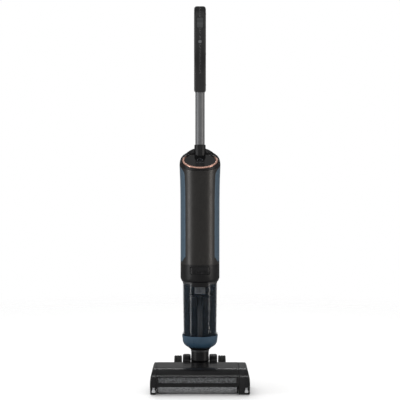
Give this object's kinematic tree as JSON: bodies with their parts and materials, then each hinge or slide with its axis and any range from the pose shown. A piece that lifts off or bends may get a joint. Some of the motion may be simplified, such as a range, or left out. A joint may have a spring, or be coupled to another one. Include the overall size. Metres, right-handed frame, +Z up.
{
  "type": "wet dry floor scrubber",
  "caption": "Upright cordless floor washer: powered roller head on rear wheels, tilting and swivelling neck, clip-in dirty and clean water tanks, slanted display, tube with looped handle.",
  "frame": {"origin": "on the floor, under the middle of the bounding box", "axes": "+Z up the upright column, -Y towards the roller and the display, +X to the right seen from the front along +Y"},
  "size_m": [0.278, 0.25, 1.1],
  "materials": {
    "black_abs": "moulded ABS, fine satin texture",
    "gloss_black": "polished black ABS",
    "grey_abs": "moulded dark grey ABS",
    "charcoal_shell": "satin metallic charcoal coating",
    "slate_blue_shell": "satin slate blue coating",
    "deep_blue_abs": "satin deep blue ABS",
    "smoked_clear": "smoked clear polycarbonate",
    "display_glass": "black display window",
    "copper_trim": "copper-coloured anodised trim",
    "tube_aluminium": "satin grey anodised",
    "steel": "plain steel",
    "rubber": "black rubber",
    "microfibre": "grey microfibre nap",
    "pale_nylon": "light grey nylon",
    "battery_wrap": "blue battery wrap",
    "board_green": "green circuit board"
  },
  "bodies": {
    "head": {"base_plate": "black_abs", "head_housing": "black_abs", "end_cap_left": "black_abs", "end_cap_right": "black_abs", "drive_plate": "black_abs", "scraper_blade": "rubber", "spray_bar": "grey_abs", "brush_motor": "steel", "drive_belt": "rubber", "hinge_lug_left": "black_abs", "hinge_lug_right": "black_abs", "hinge_pin": "steel", "rear_axle": "steel", "suction_duct": "grey_abs"},
    "roller_cover": {"roller_cover": "gloss_black", "cover_window": "smoked_clear"},
    "roller": {"roller_core": "grey_abs", "roller_nap": "microfibre", "roller_pulley": "grey_abs"},
    "motor_pulley": {"motor_pulley": "steel"},
    "rear_wheel_left": {"rear_wheel_left": "grey_abs", "rear_tyre_left": "rubber"},
    "rear_wheel_right": {"rear_wheel_right": "grey_abs", "rear_tyre_right": "rubber"},
    "corner_roller_left": {"corner_roller_left": "pale_nylon"},
    "corner_roller_right": {"corner_roller_right": "pale_nylon"},
    "neck": {"neck_yoke": "black_abs"},
    "body": {"swivel_collar": "grey_abs", "base_shelf": "black_abs", "rear_spine": "black_abs", "lower_band": "black_abs", "front_cover": "charcoal_shell", "side_panel_left": "slate_blue_shell", "side_panel_right": "slate_blue_shell", "rear_shell": "black_abs", "top_dome": "gloss_black", "accent_ring": "copper_trim", "display_panel": "display_glass", "tube_socket": "black_abs", "suction_motor": "steel", "battery_pack": "battery_wrap", "circuit_board": "board_green", "water_pump": "grey_abs", "release_spring": "steel"},
    "impeller": {"impeller": "tube_aluminium"},
    "dirty_tank": {"dirty_tank": "smoked_clear", "tank_base_cup": "deep_blue_abs", "tank_lid": "black_abs", "tank_filter": "pale_nylon", "standpipe": "grey_abs", "latch_tongue": "black_abs"},
    "float": {"float": "black_abs"},
    "clean_tank": {"clean_tank": "smoked_clear"},
    "clean_tank_cap": {"clean_tank_cap": "deep_blue_abs"},
    "release_button": {"tank_release_button": "grey_abs"},
    "handle": {"extension_tube": "tube_aluminium", "handle_shell_left": "black_abs", "handle_shell_right": "black_abs"},
    "mode_button": {"mode_button": "grey_abs"},
    "power_button": {"power_button": "pale_nylon"}
  },
  "joints": [
    {"name": "recline", "type": "hinge", "parent": "head", "child": "neck", "pos_m": [0, 0.037, 0.058], "axis": [-1, 0, 0], "range_deg": [0, 70]},
    {"name": "swivel", "type": "hinge", "parent": "neck", "child": "body", "pos_m": [0, 0.019, 0.1], "axis": [0, 0, 1], "range_deg": [-35, 35]},
    {"name": "roller_spin", "type": "hinge", "parent": "head", "child": "roller", "pos_m": [0, -0.087, 0.034], "axis": [1, 0, 0], "continuous": true},
    {"name": "motor_spin", "type": "hinge", "parent": "head", "child": "motor_pulley", "pos_m": [0, -0.021, 0.044], "axis": [1, 0, 0], "continuous": true},
    {"name": "wheel_spin_left", "type": "hinge", "parent": "head", "child": "rear_wheel_left", "pos_m": [0, 0.087, 0.038], "axis": [1, 0, 0], "continuous": true},
    {"name": "wheel_spin_right", "type": "hinge", "parent": "head", "child": "rear_wheel_right", "pos_m": [0, 0.087, 0.038], "axis": [1, 0, 0], "continuous": true},
    {"name": "corner_spin_left", "type": "hinge", "parent": "head", "child": "corner_roller_left", "pos_m": [-0.1292, -0.1146, 0.0145], "axis": [0, 0, 1], "continuous": true},
    {"name": "corner_spin_right", "type": "hinge", "parent": "head", "child": "corner_roller_right", "pos_m": [0.1292, -0.1146, 0.0145], "axis": [0, 0, 1], "continuous": true},
    {"name": "cover_lift", "type": "slide", "parent": "head", "child": "roller_cover", "axis": [0, -0.7071, 0.7071], "range_m": [0, 0.06]},
    {"name": "impeller_spin", "type": "hinge", "parent": "body", "child": "impeller", "pos_m": [0, -0.005, 0.37], "axis": [0, 0, 1], "continuous": true},
    {"name": "tank_pull", "type": "slide", "parent": "body", "child": "dirty_tank", "axis": [0, -1, 0], "range_m": [0, 0.13]},
    {"name": "float_lift", "type": "slide", "parent": "dirty_tank", "child": "float", "axis": [0, 0, 1], "range_m": [0, 0.009]},
    {"name": "clean_tank_pull", "type": "slide", "parent": "body", "child": "clean_tank", "axis": [0, 1, 0], "range_m": [0, 0.09]},
    {"name": "cap_pull", "type": "slide", "parent": "clean_tank", "child": "clean_tank_cap", "axis": [0, 1, 0], "range_m": [0, 0.02]},
    {"name": "release_press", "type": "slide", "parent": "body", "child": "release_button", "axis": [0, 1, 0], "range_m": [0, 0.0025], "stiffness_N_per_m": 800, "deforming": ["release_spring"]},
    {"name": "handle_pull", "type": "slide", "parent": "body", "child": "handle", "axis": [0, 0, 1], "range_m": [0, 0.075]},
    {"name": "mode_press", "type": "slide", "parent": "handle", "child": "mode_button", "axis": [0, 1, 0], "range_m": [0, 0.002], "stiffness_N_per_m": 600},
    {"name": "power_press", "type": "slide", "parent": "handle", "child": "power_button", "axis": [0, 1, 0], "range_m": [0, 0.0015], "stiffness_N_per_m": 600}
  ],
  "couplings": [
    {"joint": "motor_spin", "follows": "roller_spin", "ratio": 1.3333}
  ]
}
